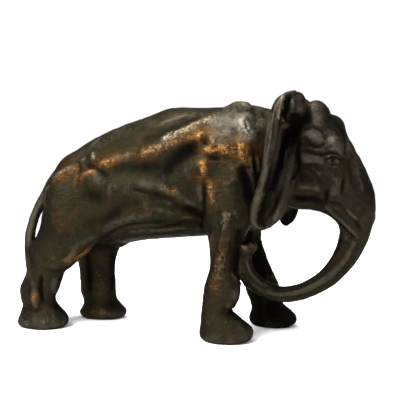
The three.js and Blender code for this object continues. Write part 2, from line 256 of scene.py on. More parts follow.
class Clay:
    """A grid of distances to the surface, negative inside, that forms are joined to."""

    def __init__(self):
        self.origin = np.round(GRID_LOW / VOXEL).astype(int)
        self.count = np.round(GRID_HIGH / VOXEL).astype(int) - self.origin + 1
        self.far = BAND * VOXEL
        self.field = np.full(self.count, self.far, np.float32)

    def window(self, low, high):
        """First and last cells of the grid round a box."""
        first = np.clip(np.floor(np.array(low) / VOXEL).astype(int) - self.origin, 0, self.count - 1)
        last = np.clip(np.ceil(np.array(high) / VOXEL).astype(int) - self.origin + 1, 1, self.count)
        return first, last

    def view(self, first, last):
        return self.field[first[0]:last[0], first[1]:last[1], first[2]:last[2]]

    def places(self, first, last):
        """X, Y and Z of a window's cells."""
        axes = [(np.arange(first[c], last[c]) + self.origin[c]) * VOXEL for c in range(3)]
        return np.meshgrid(*axes, indexing="ij", sparse=True)

    def add(self, loft, blend):
        """Joins a closed loft to the clay."""
        points, quads, triangles = loft
        first, last = self.window(points.min(0) - self.far, points.max(0) + self.far)
        grid = openvdb.FloatGrid.createLevelSetFromPolygons(
            (points / VOXEL).astype(np.float32), triangles=triangles.astype(np.uint32),
            quads=quads.astype(np.uint32), transform=openvdb.createLinearTransform(1.0),
            halfWidth=float(BAND))
        part = np.empty(last - first, np.float32)
        grid.copyToArray(part, ijk=tuple(int(v) for v in first + self.origin))
        part *= VOXEL
        self.mix(first, last, part, blend)

    def mix(self, first, last, part, blend):
        """Joins a window of distances with a soft seam."""
        have = self.view(first, last)
        near = np.clip(blend - np.abs(have - part), 0, None) / blend
        have[...] = np.minimum(have, part) - near * near * blend / 4

    def ball(self, at, size, tip=0.0, blend=3.0, cut=False):
        """Adds or cuts an ellipsoid tipped about Y."""
        reach = max(size) + self.far
        first, last = self.window(np.array(at) - reach, np.array(at) + reach)
        x, y, z = self.places(first, last)
        x, y, z = x - at[0], y - at[1], z - at[2]
        x, z = x * math.cos(tip) - z * math.sin(tip), x * math.sin(tip) + z * math.cos(tip)
        scaled = np.sqrt((x / size[0])**2 + (y / size[1])**2 + (z / size[2])**2) + TINY
        slope = np.sqrt((x / size[0]**2)**2 + (y / size[1]**2)**2 + (z / size[2]**2)**2) + TINY
        part = np.clip(scaled * (scaled - 1) / slope, -self.far, self.far).astype(np.float32)
        if not cut:
            self.mix(first, last, part, blend)
            return
        have = self.view(first, last)
        near = np.clip(blend - np.abs(have + part), 0, None) / blend
        have[...] = np.maximum(have, -part) + near * near * blend / 4

    def press(self, path, width, rise, fade_length=8.0):
        """Raises (or, with a negative rise, sinks) the surface along a path, fading at both ends."""
        path = spline(path, 3 * len(path)) if len(path) > 2 else np.array(path, float)
        reach = PRESS_REACH * width
        first, last = self.window(path.min(0) - reach, path.max(0) + reach)
        x, y, z = self.places(first, last)
        nearest = np.full(np.broadcast(x, y, z).shape, 1e9, np.float32)
        along = np.zeros_like(nearest)
        lengths = np.linalg.norm(np.diff(path, axis=0), axis=1)
        run = np.concatenate([[0], np.cumsum(lengths)])
        for a, b, start, length in zip(path[:-1], path[1:], run[:-1], lengths):
            d = (b - a) / max(length, TINY)
            s = np.clip((x - a[0]) * d[0] + (y - a[1]) * d[1] + (z - a[2]) * d[2], 0, length)
            gap = (x - a[0] - s * d[0])**2 + (y - a[1] - s * d[1])**2 + (z - a[2] - s * d[2])**2
            closer = gap < nearest
            nearest = np.where(closer, gap, nearest)
            along = np.where(closer, start + s, along)
        t = along / max(run[-1], TINY)
        taper = min(LONGEST_TAPER, fade_length / run[-1])
        long = taper > 0 and run[-1] > 2 * width
        fade = smoothstep(t, -0.001, taper) * smoothstep(1 - t, -0.001, taper) if long else 1.0
        self.view(first, last)[...] -= rise * fade * np.exp(-nearest / width**2)

    def skin(self, side):
        """How far out the surface stands on one side, over every X and Z."""
        field = self.field if side < 0 else self.field[:, ::-1]
        inside = field < 0
        hit = inside.argmax(axis=1)
        found = inside.any(axis=1)
        before = np.clip(hit - 1, 0, None)
        i, k = np.meshgrid(np.arange(field.shape[0]), np.arange(field.shape[2]), indexing="ij")
        a, b = field[i, before, k], field[i, hit, k]
        part = np.where(found, before + a / np.maximum(a - b, TINY), np.nan)
        return part * VOXEL + GRID_LOW[1] if side < 0 else GRID_HIGH[1] - part * VOXEL

    def sample(self, points, field):
        """Trilinear value of a field at points."""
        p = points / VOXEL - self.origin
        i = np.clip(np.floor(p).astype(int), 0, np.array(field.shape) - 2)
        f = (p - i).astype(np.float32)
        total = 0
        for corner in range(8):
            o = np.array([(corner >> 2) & 1, (corner >> 1) & 1, corner & 1])
            w = np.prod(np.where(o, f, 1 - f), axis=1)
            total = total + w * field[i[:, 0] + o[0], i[:, 1] + o[1], i[:, 2] + o[2]]
        return total


def blur(field, reach):
    """Two box blurs along each axis."""
    for axis in range(3):
        for _ in range(2):
            pad = [(0, 0)] * 3
            pad[axis] = (reach + 1, reach)
            run = np.cumsum(np.pad(field, pad, mode="edge"), axis=axis, dtype=np.float64)
            width = 2 * reach + 1
            high = [slice(None)] * 3
            lower = [slice(None)] * 3
            high[axis] = slice(width, None)
            lower[axis] = slice(None, -width)
            field = ((run[tuple(high)] - run[tuple(lower)]) / width).astype(np.float32)
    return field


clay = Clay()
clay.add(barrel_loft(BARREL, waist=0.42, roof=1.05), blend=1.0)
clay.add(barrel_loft(HEAD, waist=0.5, roof=1.0), blend=4.0)
for leg in LEGS:
    clay.add(leg_loft(leg), blend=3.0)
# The trunk, with the lip and nostril of its tip.
clay.add(tube_loft(TRUNK, widening=1.08), blend=3.0)
clay.ball((46.2, -17.3, 68.0), (5.4, 6.0, 5.0), tip=0.5, blend=3)
clay.ball((38.6, -17.5, 73.5), (3.6, 7, 4.6), tip=-0.6, blend=2.0, cut=True)
# Head domes, tops of the forelegs, forehead and sheath.
for side in (-1, 1):
    clay.ball((93.5, side * 9.5, 163.5), (9.8, 8.5, 11.8), blend=1.5)
    clay.ball((34, side * 12, 92), (22, 14, 12), blend=6)
clay.ball((100, 0, 150), (12.5, 12, 16.5), tip=-0.5, blend=4)
clay.ball((105.2, 0, 155), (8.5, 10, 9.5), blend=2.5)
clay.ball((-66, 0, 67), (8.5, 5.5, 6), blend=4)
for _ in range(2):
    clay.field = blur(clay.field, 1)
# Temples.
for side in (-1, 1):
    clay.ball((92.4, side * 20.0, 148.6), (9.2, 3.9, 4.6), tip=0.22, blend=1.0)
    clay.ball((96.5, side * 19.6, 147.2), (5.4, 3.9, 4.6), tip=0.3, blend=2.0)

# Rows of worked relief: width, rise (negative sinks), and a path of (forward, up) places on the skin.
RUMP = [
    (4, 2, [(-112, 114), (-106, 118.5), (-100, 122.5), (-93, 126), (-88, 129)]),
    (2.2, 1.5, [(-85, 131), (-83, 132)]),
    (2.4, 1.5, [(-75, 136), (-74, 133.5)]),
    (1.4, -3, [(-87, 131), (-85.6, 124), (-85.2, 117), (-85, 109)]),
    (2.2, -2.8, [(-82, 130), (-78, 128), (-74, 127), (-69, 125.5), (-64, 122), (-57, 119)]),
    (2.4, 1.6, [(-84, 116), (-77, 121.5), (-70, 123.3)]),
    (4.6, 2.2, [(-71, 127), (-61, 129.5), (-55, 132), (-46, 133.5)]),
    (7, 1.8, [(-80, 114), (-70, 116.5), (-58, 115.5)]),
    (7, -2.2, [(-80, 104), (-70, 104), (-60, 103)]),
    (3, -0.7, [(-88.5, 112), (-88, 102), (-87.5, 94), (-87.5, 84)]),
    (9, 1.2, [(-102, 106), (-101, 92), (-99, 78)]),
    (1.6, -2.8, [(-108, 120), (-114, 113), (-118.5, 107), (-117.5, 100), (-118.5, 92)]),
    (2.4, 1.6, [(-109, 115), (-113.5, 108), (-114, 101), (-114, 92)]),
    (1.8, -1.6, [(-85, 140.5), (-80, 147.5), (-74, 153)]),
    (2.2, 1.1, [(-82, 140), (-77, 146), (-71, 151)]),
]
FLANK = [
    (4.4, 1.2, [(-94, 59), (-82, 68), (-70, 75.5), (-60, 81), (-48, 86), (-34, 90), (-18, 92)]),
    (1.4, -1.7, [(-92, 54), (-80, 62), (-69, 69.5), (-62, 74.5), (-53, 79), (-42, 82.5), (-28, 84),
                 (-12, 86)]),
    (1.4, -1.6, [(-36, 79.5), (-20, 80.3), (-9, 82.5), (0, 86), (11, 86)]),
    (1.4, -1.2, [(-38, 72.5), (-20, 76), (-7, 77), (8, 81)]),
    (2.2, 0.8, [(-50, 75), (-34, 78.5), (-14, 79.5), (3, 82)]),
    (5, -1.7, [(-80, 80), (-64, 88), (-54, 93), (-42, 98), (-28, 102)]),
    (6, 1.6, [(-56, 130), (-45, 132), (-36, 133)]),
    (5.8, 2.6, [(-36, 135), (-20, 140), (-12, 144), (-4, 147.5), (4, 151.5), (14, 156)]),
    (4.6, 1.5, [(-20, 145), (-8, 150), (1, 154.5), (8, 158.5), (20, 163)]),
    (3, 0.8, [(-32, 136.5), (-15, 140), (-6, 142.5), (3, 145.5), (12, 148.5)]),
    (4.5, -2, [(-38, 145), (-24, 151), (-11, 157), (-1, 161.5), (10, 165)]),
    (3, 1, [(-26, 155), (-12, 161.5), (2, 166.5)]),
    (1, -0.9, [(-19, 148), (-15, 152)]),
    (7.5, -3, [(-70, 119), (-52, 122), (-40, 123), (-26, 123), (-12, 122)]),
    (10, 1.6, [(-62, 110), (-44, 111), (-32, 110), (-18, 106)]),
    (7.5, -4.4, [(11, 143), (4, 139), (-3, 133), (-9, 127), (-15, 119)]),
    (4.4, 0.7, [(0, 127), (5, 121), (8, 113)]),
    (4.2, 1.1, [(-36, 115), (-20, 113), (-7, 108.5), (2, 103.5), (12, 95)]),
    (2.6, -1.7, [(-42, 111), (-24, 107.5), (-11, 103), (-3, 97.5), (5, 92.5), (14, 87.5)]),
    (1.6, -1.2, [(-24, 100), (-10, 96.5), (2, 91), (13, 84.5)]),
    (1.8, 0.9, [(-16, 103), (-4, 98.5), (6, 93)]),
    (4.6, -3, [(-2, 96.5), (7, 92), (13, 85)]),
    (5, 1, [(-34, 99), (-18, 95), (-4, 90.5)]),
    (4, 1.2, [(-30, 70), (-10, 71.5), (6, 74)]),
]
SHOULDER = [
    (4, 2.2, [(20, 169.5), (32, 172), (44, 171.5), (49, 167)]),
    (2.2, -1.8, [(52, 170), (56, 166.5), (56, 161)]),
    (3, -1.1, [(34, 165.5), (39, 165.5)]),
    (2, -1, [(29, 168), (31, 164), (36, 162), (44, 162.5)]),
    (3.9, 2.1, [(20, 144.5), (20.2, 146.5)]),
    (3, -2, [(15.5, 151), (15.8, 145), (15.5, 140)]),
    (3.3, 1.6, [(11.5, 149), (12.5, 145)]),
    (2.6, 1.2, [(18, 138.6), (20, 137)]),
    (3.2, 1.4, [(27, 141), (30, 140)]),
    (1.4, -1.1, [(23, 142), (24.5, 139.5)]),
    (1.4, -1.8, [(22.5, 137), (27, 137.2)]),
    (2.6, -1.9, [(21, 133.8), (25, 133.2)]),
    (3.8, 1.7, [(42, 142), (43, 137)]),
    (2.2, 1, [(46, 142), (47, 138.5)]),
    (1.6, -1.6, [(39.5, 143.5), (39, 139), (40, 134)]),
    (6, 1.6, [(24, 152), (33, 151), (42, 150)]),
    (3, -1.3, [(35, 156), (37, 151), (37, 146)]),
    (5, -1.8, [(32, 134), (38, 131)]),
    (3.8, 1.8, [(14.7, 127.5), (15, 123)]),
    (1.4, -1.6, [(10.5, 126), (12.5, 121.5), (15, 118)]),
    (1, -1.7, [(15.2, 121), (16.5, 114), (16.5, 105), (15.5, 97), (13.5, 90), (11.5, 84), (10, 77)]),
    (2.6, 0.8, [(12.5, 116), (13, 107), (13, 98)]),
    (2.4, 0.8, [(20.5, 116), (21, 106), (21, 97)]),
    (6.5, 1.6, [(33, 122), (34, 110), (35, 98)]),
    (3.4, 0.5, [(36.5, 124), (37.5, 118)]),
    (1.2, -1.3, [(29.5, 111.6), (34, 111.3), (38.5, 111.4)]),
    (1.3, 1.1, [(28, 113.3), (33, 113.2)]),
    (1.3, 1, [(28, 109.7), (32.5, 109.8)]),
    (1.2, -0.8, [(30, 117), (34, 116.5), (37, 117)]),
    (3, -4.2, [(41.3, 128), (44.3, 122), (46.8, 115), (48.8, 107), (50, 98)]),
    (1.3, -1.4, [(40.5, 128.5), (46, 126.5), (52, 124)]),
    (1.5, 1.2, [(48, 136), (49.5, 128), (50.5, 120)]),
    (1.5, 1.2, [(53, 136), (54, 127), (54, 119)]),
    (1.5, -1, [(51, 136), (52, 128), (52.5, 120)]),
    (2, -1.2, [(27.5, 100), (27, 90), (27.5, 80)]),
    (3, 1.2, [(33, 97), (31, 88), (29.5, 78)]),
    (1.3, 1.2, [(38.5, 155), (41, 152.5), (43, 150)]),
    (1.3, 1.3, [(40, 160), (43, 157), (44.5, 153), (47, 151)]),
    (1.3, 1, [(37.5, 160), (37, 155)]),
    (1.5, -1, [(42, 161), (45, 156), (46.5, 154)]),
    (2, 1, [(45, 164.5), (48, 162)]),
]
HEAD_WORK = [
    (1.6, -3.4, [(105, 168), (103.8, 162), (101.8, 157.5), (96.5, 154.6)]),
    (1.8, -2.4, [(88.5, 172), (87.8, 165), (89, 159.5), (93.5, 155.4)]),
    (1.2, -3.4, [(83.4, 149.8), (87.6, 145.8), (90.5, 143.3), (94.2, 141.6), (98, 141), (103, 143.2)]),
    (1.2, -2.2, [(102.8, 144.5), (101, 149), (98, 153)]),
    (1.2, -2, [(83.8, 150.4), (88.5, 154), (93, 155.6), (99, 152.8)]),
    (6, 2.8, [(104, 148.5), (107.6, 143), (111.6, 137)]),
    (1.8, -2.4, [(106, 162.5), (110.6, 156.2), (112.6, 152), (114.4, 147), (115.4, 141),
                 (115.2, 136), (114.4, 130)]),
    (2.4, 1.6, [(109, 163), (114, 155), (117, 148.5), (119, 141.5), (121, 133)]),
    (1.2, -3, [(82.8, 140), (88.6, 138), (94.2, 135.8), (100, 134.8), (103.6, 136), (108.3, 136),
                 (112.4, 133.8), (116, 130.6)]),
    (3.2, -1.3, [(104, 130.2), (110, 130.2)]),
    (2, 1.3, [(106, 130.3), (108.4, 130.2)]),
    (0.9, -1.4, [(101, 130.4), (104, 132.6), (107, 133.1), (110.4, 132), (113.6, 129.6)]),
    (1, 1.1, [(100, 131.2), (103.6, 134), (107, 134.7), (111, 133.4), (114.6, 130.2)]),
    (0.9, -0.9, [(103, 129.2), (105.4, 128.1), (108.6, 127.8), (111.4, 128.6)]),
    (1, 0.6, [(102.4, 127.6), (105.4, 126.6), (108.6, 126.3), (111.6, 127)]),
    (0.9, -0.7, [(101.2, 126.6), (104.6, 125), (108.6, 124.4), (112, 125.4)]),
    (3.4, 1.9, [(81, 133.6), (87, 133), (94, 131.6), (102, 130.4)]),
    (2.2, 0.9, [(82, 130.4), (92, 129.6)]),
    (1.2, -1.8, [(82.4, 127.8), (88.5, 127.2), (94, 127.4), (99, 126.2)]),
    (2, 0.5, [(95.5, 131.2), (101, 130)]),
    (1.5, -1.2, [(92.6, 127), (98, 124.4), (103, 122.8)]),
    (1.5, -1.8, [(80.5, 123.6), (87, 125.4), (91.2, 122.6), (94, 118.6), (97.4, 115.4), (102.5, 112)]),
    (4.4, -1.3, [(84, 119.5), (91, 116.5)]),
    (1.8, -0.9, [(80.5, 116.2), (88, 116), (94.5, 114.2)]),
    (2.4, 0.9, [(75.5, 112), (80, 112.3), (86.8, 111.7), (94.1, 110.8), (101, 109.2)]),
    (3.2, -2.8, [(75, 102.8), (86, 102.4), (99, 101.4)]),
    (1.4, -2.6, [(102, 111.5), (101.2, 104), (100.6, 98.5)]),
    (4.2, 1.1, [(107, 122.5), (108.6, 115.6), (107.6, 110), (104.5, 103)]),
    (1.1, -1.1, [(103, 119.5), (106, 116), (108.5, 111.5)]),
    (1, -0.9, [(97, 121.5), (101.5, 118), (104.5, 114)]),
    (1.4, -2, [(115, 121.5), (113.4, 113.5), (113, 105.5)]),
    (1.5, -1.6, [(100.4, 100.6), (106, 99.6), (113.5, 98.8)]),
    (1.6, 2, [(98, 98.6), (103, 95.6), (107, 91.6), (112, 87), (117, 81.5), (122.5, 76)]),
    (1.5, -2.6, [(97, 95.3), (103, 92), (107, 88), (112, 83), (117.5, 77.2), (123.5, 72.3)]),
    (1.3, -2.2, [(109.5, 99.4), (115.5, 93), (121, 87), (128, 79.5)]),
    (2.5, 2, [(112, 97.5), (117.5, 92), (123.5, 86)]),
    (2.6, 1.2, [(120.5, 148), (123.5, 136), (126.5, 124)]),
    (1.7, -1, [(117, 132), (119, 122), (119.5, 112)]),
    (2, 1, [(121.5, 128), (124.5, 117), (127, 106)]),
]
FOREHEAD_LINES = (119, 117, 115, 113, 110.5)
HEAD_WORK += [(0.9, -0.7, [(119.5, up), (123, up + 0.4), (126.5, up - 0.3)]) for up in FOREHEAD_LINES]
TRUNK_WORK = [
    (1.6, -0.6, [(128, 84), (123.5, 70), (116.5, 56.5), (107, 45), (95, 36), (82, 30.5), (68, 27)]),
    (1.5, -0.6, [(119, 80), (114.5, 68), (107, 57), (97, 47), (85, 39.5), (72, 35.5), (60, 35)]),
    (2, 0.4, [(124, 80), (118, 66), (110.5, 54), (99, 43.5), (85, 35.8), (70, 31.8), (57, 33.5)]),
    (1.2, -0.8, [(53, 34), (46, 39), (41, 47), (40, 56)]),
    (1.4, 0.9, [(50, 30.5), (42.5, 37), (37.5, 46), (36, 56), (38, 63)]),
    (1.1, -1, [(44, 71.5), (46.6, 69), (49.5, 66)]),
    (1.3, 0.9, [(40.5, 70.5), (43, 66.5), (46, 63)]),
    (1.1, -1, [(37.5, 66), (40.5, 62.5), (43, 58)]),
    (1.3, 0.7, [(44.5, 60), (45.4, 53), (48.5, 46.5), (54, 40.8), (62, 37.2)]),
    (1.1, -1.1, [(42.6, 60), (43, 52.5), (46, 45.5), (51.5, 39.6), (60, 35.6)]),
    (1.1, -0.8, [(56, 31.5), (66, 29), (78, 30.5)]),
]
NEAR_FORELEG = [
    (4.4, 0.6, [(37, 93), (33, 82), (30, 72), (27.5, 62), (24.5, 52), (21.5, 43)]),
    (1.3, -0.9, [(31, 90), (27, 79), (24, 67), (21.5, 57), (19, 47)]),
    (1.3, -0.9, [(40, 88), (37.5, 78), (35, 67), (32.5, 57), (30, 48)]),
    (2.2, 0.6, [(22, 82), (20.5, 70), (19.5, 58)]),
    (2.2, -2, [(38, 75), (36.4, 65), (35.6, 55)]),
    (3.6, 1, [(37, 42), (38, 34), (37, 28)]),
    (1.5, -2.8, [(38, 22.5), (34.5, 22), (31, 23.5), (28, 25.5)]),
    (3.4, 0.7, [(38.5, 17.5), (42.5, 13), (46, 8)]),
    (2.6, 0.5, [(36, 27), (32, 28.5)]),
    (1.5, -0.8, [(16, 44), (22, 42), (28, 43), (34, 45)]),
    (1.3, -0.6, [(15, 33), (22, 31.5), (30, 33)]),
    (3.4, 0.4, [(20, 18), (20, 10)]),
]
NEAR_REAR = [
    (1.5, -2, [(-115, 45), (-115.5, 38), (-116, 31), (-115, 22)]),
    (1.3, -1.4, [(-125.2, 43), (-124.6, 35), (-124.8, 27), (-124.5, 20)]),
    (2.4, -1, [(-118, 50), (-109, 46), (-102, 43.5)]),
    (2, -0.9, [(-134, 17), (-122, 14.5), (-110, 16.5)]),
    (2.6, 1.2, [(-98, 52), (-91, 57.5), (-84, 62.5)]),
    (1.4, -0.9, [(-104, 52), (-96, 58), (-88, 64)]),
    (4, -1, [(-108, 58), (-112, 51)]),
    (3, 1.2, [(-105, 42), (-107, 34), (-109, 26)]),
    (1.4, -0.8, [(-113, 30), (-106, 29), (-103, 31)]),
    (1.4, -0.7, [(-113, 25), (-106, 24.5), (-103, 25.5)]),
]
EAR_WORK = [
    (1.5, 1.5, [(72.5, 175), (71.2, 168), (70.5, 161), (69.8, 154), (68.6, 145), (67, 136)]),
    (1.5, 1.5, [(66, 130), (63.5, 121), (61.5, 114), (59.5, 108), (57.5, 102), (55, 96), (54, 90)]),
    (1.2, -0.9, [(67, 171), (65.6, 161), (65, 152), (63.8, 143), (62.6, 134)]),
    (2.2, -3.2, [(74.5, 160), (73, 152), (72, 144), (70.5, 136), (69, 128), (66.5, 120),
                 (64.5, 112), (62.8, 105)]),
    (3.5, -2.5, [(79.5, 160), (78, 152), (77.5, 146)]),
    (2.4, 1.2, [(77, 138), (77.5, 130), (76, 122), (74, 114), (72.5, 106), (70.5, 98), (67, 91)]),
    (1.4, -2.6, [(83.5, 149), (82, 143), (81.5, 137), (82.2, 130), (82.5, 126), (80.5, 121),
                 (78, 116), (75.8, 112)]),
    (1.1, -1, [(74.5, 144), (74, 135), (72.5, 127)]),
    (1.2, -2.8, [(61.5, 103.5), (59.8, 98.5), (57, 95.4), (55.6, 91), (55.6, 86.5), (57.2, 82)]),
    (1.1, -1.7, [(58.6, 94), (57.8, 88.5), (58.6, 83.5)]),
    (1, 1, [(60, 100), (57.6, 96.8), (56.2, 93)]),
    (1.2, 0.9, [(63, 99), (62, 93), (60.5, 88)]),
    (1.2, -0.9, [(67.5, 108), (66.5, 100), (64, 92), (61.5, 87)]),
    (2, 1.2, [(77.5, 175), (79, 171), (80, 166)]),
    (1.6, -1.2, [(81.8, 176), (82.5, 170), (81, 164)]),
    (2.2, 1.2, [(84.8, 169), (84, 163)]),
    (1.3, -1.6, [(77, 163.5), (82, 161), (86.5, 158)]),
]
# Seeded pits and grains: middle, half length, half height, how many.
GRAINS = [
    (23, 106, 5, 7.5, 50), (34, 92, 7, 4, 16), (43, 154, 5.5, 7, 45), (28.5, 86, 2, 3.5, 12),
    (27, 56, 5, 11, 60), (44, 68.5, 3.5, 3.5, 18), (16, 146, 5, 6, 22), (43, 138, 6, 6, 30),
    (-62, 128, 7, 4, 30), (-22, 137, 8, 5, 22), (76, 156, 4, 4, 12),
]


def on_skin(path, depth):
    """A path of (forward, up) places laid on a side's skin."""
    placed = []
    for forward, up in path:
        i = int(round(forward / VOXEL)) - clay.origin[0]
        k = int(round(up / VOXEL)) - clay.origin[2]
        placed.append((forward, float(depth[i, k]), up))
    return placed


def work(rows, side, strength=1.0):
    """Presses rows of relief into one side."""
    depth = clay.skin(side)
    for width, rise, path in rows:
        placed = on_skin(path, depth)
        if np.isfinite(placed).all():
            clay.press(placed, width, strength * rise)


def grains(side, strength):
    """Scatters the seeded pits and grains over one side."""
    rng = np.random.default_rng(11)
    depth = clay.skin(side)
    for forward, up, half_x, half_z, count in GRAINS:
        for _ in range(count):
            turn, reach = rng.uniform(0, 2 * math.pi), math.sqrt(rng.uniform())
            x, z = forward + half_x * reach * math.cos(turn), up + half_z * reach * math.sin(turn)
            slant = rng.uniform(-1.2, 1.2)
            rise = rng.uniform(0.2, 0.5) * rng.choice([-1, 1]) * strength
            placed = on_skin([(x, z), (x + slant, z + 0.8)], depth)
            if np.isfinite(placed).all():
                clay.press(placed, 0.9, rise, fade_length=0)


TOENAIL_TURNS = (-1.25, -0.65, -0.1, 0.45, 1.0)
TOENAIL_WIDTH = 4.2
TOENAIL_RISE = 0.4


def toenails(leg):
    """Raises five toenails round the front of a foot."""
    rear, front, across, half = leg[2][1:]
    for turn in TOENAIL_TURNS:
        forward = (rear + front) / 2 + (front - rear) / 2 * math.cos(turn)
        side = across + half * math.sin(turn)
        nail = [(forward, side, 3.0), (forward, side, 7.0)]
        clay.press(nail, TOENAIL_WIDTH, TOENAIL_RISE, fade_length=0)


for side, strength in ((-1, 1.0), (1, FAR_RELIEF)):
    for rows in (RUMP, FLANK, SHOULDER, HEAD_WORK, TRUNK_WORK):
        work(rows, side, strength)
work(NEAR_FORELEG, -1)
work(NEAR_REAR, -1)
for leg in LEGS:
    toenails(leg)

clay.add(tube_loft(TAIL), blend=2.5)
for side, root, rim, relief, roughness in (
    (-1, EAR_ROOT, EAR_RIM, 1.0, 1.0),
    (1, FAR_EAR_ROOT, FAR_EAR_RIM, FAR_RELIEF, FAR_GRAINS),
):
    clay.add(ear_loft(root, rim, side), blend=2.0)
    clay.ball((79.5, side * 25, 169), (8.5, 9, 11), tip=0.3, blend=5)
    clay.ball((80, side * 32, 155), (7.5, 9, 8), blend=2, cut=True)
    work(EAR_WORK, side, relief)
    grains(side, roughness)


def cast_noise(seed, spacing):
    """Smooth seeded noise over the grid, about -1 to 1."""
    rng = np.random.default_rng(seed)
    cells = (clay.count * VOXEL / spacing).astype(int) + 3
    coarse = rng.uniform(-1, 1, cells).astype(np.float32)
    out = coarse
    for axis in range(3):
        at = np.arange(clay.count[axis]) * VOXEL / spacing
        i = at.astype(int)
        f = (at - i).astype(np.float32)
        f = f * f * (3 - 2 * f)
        shape = [1, 1, 1]
        shape[axis] = -1
        f = f.reshape(shape)
        out = np.take(out, i, axis) * (1 - f) + np.take(out, i + 1, axis) * f
    return out


# The cast skin's unevenness: seed, spacing and height.
CAST_SKIN = ((3, 8.0, 0.26), (5, 3.6, 0.20), (7, 1.7, 0.09))
clay.field += sum(height * cast_noise(seed, spacing) for seed, spacing, height in CAST_SKIN)
ground = (np.arange(clay.count[2]) + clay.origin[2]) * VOXEL
clay.field = np.maximum(clay.field, -ground[None, None, :]).astype(np.float32)


def build_mesh():
    """The clay's surface as a mesh, in millimetres."""
    grid = openvdb.FloatGrid(clay.far)
    grid.copyFromArray(clay.field, ijk=tuple(int(v) for v in clay.origin))
    points, triangles, quads = grid.convertToPolygons(0.0, 0.0)
    points = np.array(points, float) * VOXEL
    mesh = bpy.data.meshes.new("elephant_bronze")
    mesh.from_pydata(points.tolist(), [], quads.tolist() + triangles.tolist())
    return mesh


# -------------------------------- wear and painted light
# Worn places, and in GOLD also painted highlights and glints: width, strength, and a path of (forward,
# up) places. The far side has the same, fainter.
COPPER = [
    (4.6, 0.6, [(-70, 127), (-61, 129), (-54, 131)]), (3.8, 0.36, [(-55, 132), (-46, 134), (-36, 136)]),
    (4.6, 0.5, [(-32, 136), (-22, 138.5), (-14, 140.5)]), (3.8, 0.5, [(-12, 142), (-4, 145), (4, 148)]),
    (4.6, 0.85, [(7, 147), (13, 150)]), (1.8, 0.8, [(-86, 126), (-85, 121), (-85, 115)]),
    (3, 0.55, [(-82, 118), (-76, 122), (-70, 123.5)]),
    (5, 0.4, [(-107, 117), (-99, 120.5), (-91, 124)]), (4.2, 0.75, [(19, 138.5), (25, 140)]),
    (5.6, 0.62, [(28, 139), (37, 138)]), (6.4, 0.72, [(42, 140), (43, 135)]),
    (4, 0.4, [(40, 145), (45, 144)]), (3.4, 0.7, [(15.2, 130), (15.4, 123)]),
    (4.6, 0.5, [(20, 115), (23, 102)]), (3, 0.4, [(-14, 110.8), (-4, 108.6)]),
    (5, 0.10, [(30, 88), (34, 93), (39, 95)]), (4.4, 0.2, [(33, 84), (30.5, 68)]),
    (6.4, 0.36, [(29, 66), (25.5, 50), (23, 42)]), (2.4, 0.5, [(-119.5, 27), (-120.8, 22)]),
    (2.8, 0.55, [(-94, 53), (-87, 56.5), (-80, 61)]), (3, 0.4, [(41, 67), (45, 68)]),
    (3, 0.3, [(86, 152), (90, 156)]), (8, 0.27, [(-101, 96), (-98, 80)]),
]
FAR_COPPER = [
    (8, 0.24, [(-86, 38), (-84, 26), (-85, 14)]), (5, 0.3, [(-92, 8), (-78, 7)]),
    (5, 0.4, [(63, 12), (71, 7)]),
]
# Pale gold wear, with painted highlights and glints along the shoulder-blade ridge, on the shoulder knob
# and top, and on the ear's inner rim.
GOLD = [
    (4.4, 0.6, [(-14, 147.5), (-8, 150), (1, 154.5), (8, 158.5), (18, 162)]),
    (2.2, 0.12, [(-67, 127), (-60, 129.5)]), (3.6, 0.3, [(-28, 137.5), (-18, 140), (-11, 142)]),
    (2.4, 0.5, [(8, 149), (13, 150)]), (3.4, 0.5, [(20, 146), (20.4, 144.8)]),
    (1.8, 0.35, [(-84.5, 131.5), (-82.5, 132.5)]), (2.6, 0.45, [(-74, 137), (-73, 134)]),
    (2.4, 0.4, [(-105, 120.5), (-97, 125), (-89, 128)]), (4.5, 0.35, [(40, 172), (49, 170)]),
    (4, 0.4, [(29, 86), (33, 92), (39, 94.5)]), (3.4, 0.4, [(21, 113), (24, 103)]),
    (1.8, 0.25, [(-85.5, 109), (-85, 101), (-84, 89)]), (1.3, 0.9, [(73, 175), (71.8, 168), (71, 160)]),
    (2.8, 0.42, [(42, 69.5), (47, 68)]), (2.6, 0.45, [(-133, 6.5), (-124, 5)]),
    (2, 0.4, [(-112, 7), (-107, 7)]), (3.5, 0.16, [(28, 60), (24, 45)]),
    (2.4, 0.4, [(12, 140), (10, 146)]), (3, 0.35, [(24, 150), (34, 152)]),
]
